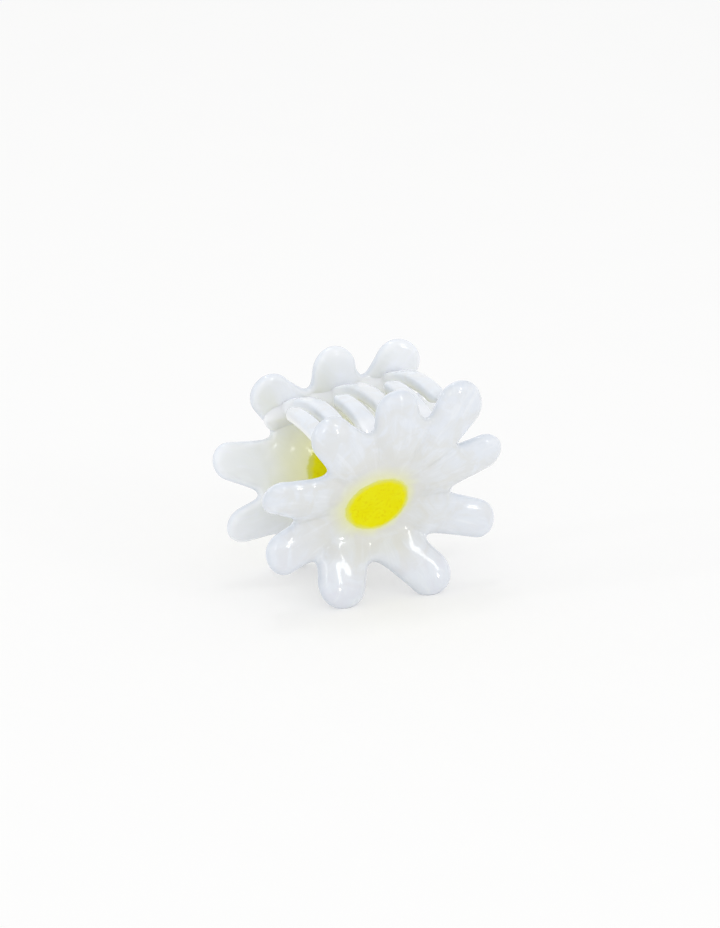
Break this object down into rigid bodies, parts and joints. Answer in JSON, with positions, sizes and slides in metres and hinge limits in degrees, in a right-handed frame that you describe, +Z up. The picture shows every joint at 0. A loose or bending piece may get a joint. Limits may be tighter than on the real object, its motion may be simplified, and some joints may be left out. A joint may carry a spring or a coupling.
{
  "type": "flower hair clip",
  "caption": "Sprung claw clip made of two mirrored daisy halves with yellow centres, joined by a pin hinge and closed by interlocking teeth.",
  "frame": {"origin": "middle of the clip on the plane it stands on, under the hinge axis", "axes": "+X along the hinge pin, the front flower faces -Y, +Z up from the standing petals to the teeth"},
  "size_m": [0.0612, 0.0376, 0.0525],
  "materials": {
    "pearl": "polished pearl acetate sheet",
    "yellow": "polished yellow acetate",
    "comb": "polished pearl acetate",
    "steel": "drawn wire"
  },
  "bodies": {
    "back_half": {"back_flower": "pearl", "back_centre": "yellow", "back_comb": "comb", "back_ear_left": "comb", "back_ear_right": "comb", "hinge_pin": "steel", "torsion_spring": "steel"},
    "front_half": {"front_flower": "pearl", "front_centre": "yellow", "front_comb": "comb", "front_ear_left": "comb", "front_ear_right": "comb"}
  },
  "joints": [
    {"name": "jaw_hinge", "type": "hinge", "parent": "back_half", "child": "front_half", "pos_m": [-0.00034, 0, 0.0134], "axis": [1, 0, 0], "range_deg": [0, 65], "stiffness_Nm_per_rad": 0.05, "deforming": ["torsion_spring"]}
  ]
}
